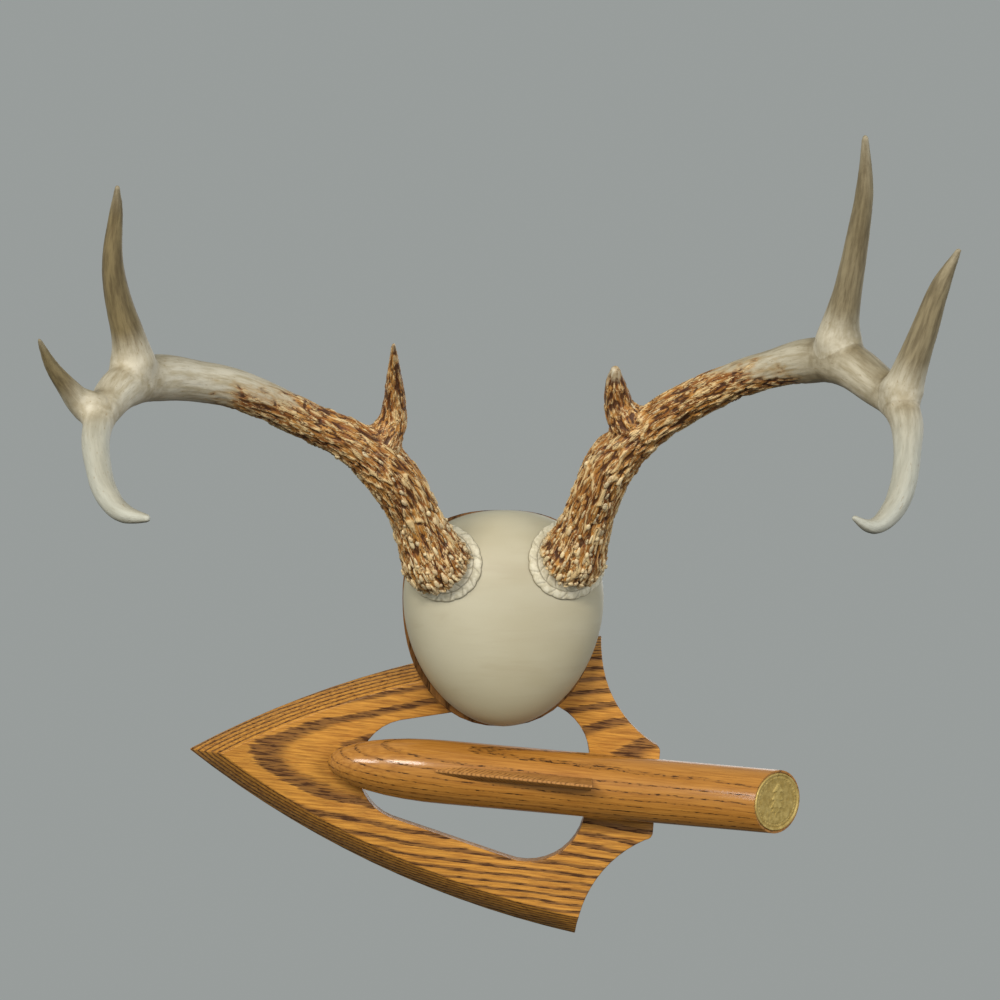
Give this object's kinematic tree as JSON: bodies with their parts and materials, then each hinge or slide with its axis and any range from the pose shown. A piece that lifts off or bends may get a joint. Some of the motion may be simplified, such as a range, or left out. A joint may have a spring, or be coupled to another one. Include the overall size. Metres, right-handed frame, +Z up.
{
  "type": "deer antler wall mount",
  "caption": "Whitetail deer antlers on a cream skull-cap cover, hung on an oak wall plaque shaped like a broadhead arrow point with its shaft.",
  "frame": {"origin": "on the flat back of the plaque, in the wall plane, behind the middle of the cap where the plaque carries it", "axes": "+Z up; +Y into the wall, so the antlers reach out towards -Y; +X to the viewer's right"},
  "size_m": [0.4054, 0.2951, 0.3789],
  "materials": {
    "antler": "weathered antler: brown and pearled at the base, pale and polished at the tines",
    "bone": "dry sawn bone",
    "cover": "cream satin moulding, faintly mottled",
    "collar": "pale grey textured band with dark seams",
    "oak": "stained red oak, satin varnish, open grain",
    "oak_dark": "darker stained oak, satin varnish",
    "brass": null
  },
  "bodies": {
    "root": {"blade_plaque": "oak", "shaft": "oak", "third_blade": "oak_dark", "medallion": "brass", "backer": "oak_dark", "skull_plate": "bone", "cap_cover": "cover", "left_collar": "collar", "right_collar": "collar", "left_beam": "antler", "left_brow_tine": "antler", "left_second_tine": "antler", "left_third_tine": "antler", "right_beam": "antler", "right_brow_tine": "antler", "right_second_tine": "antler", "right_third_tine": "antler"}
  },
  "joints": []
}
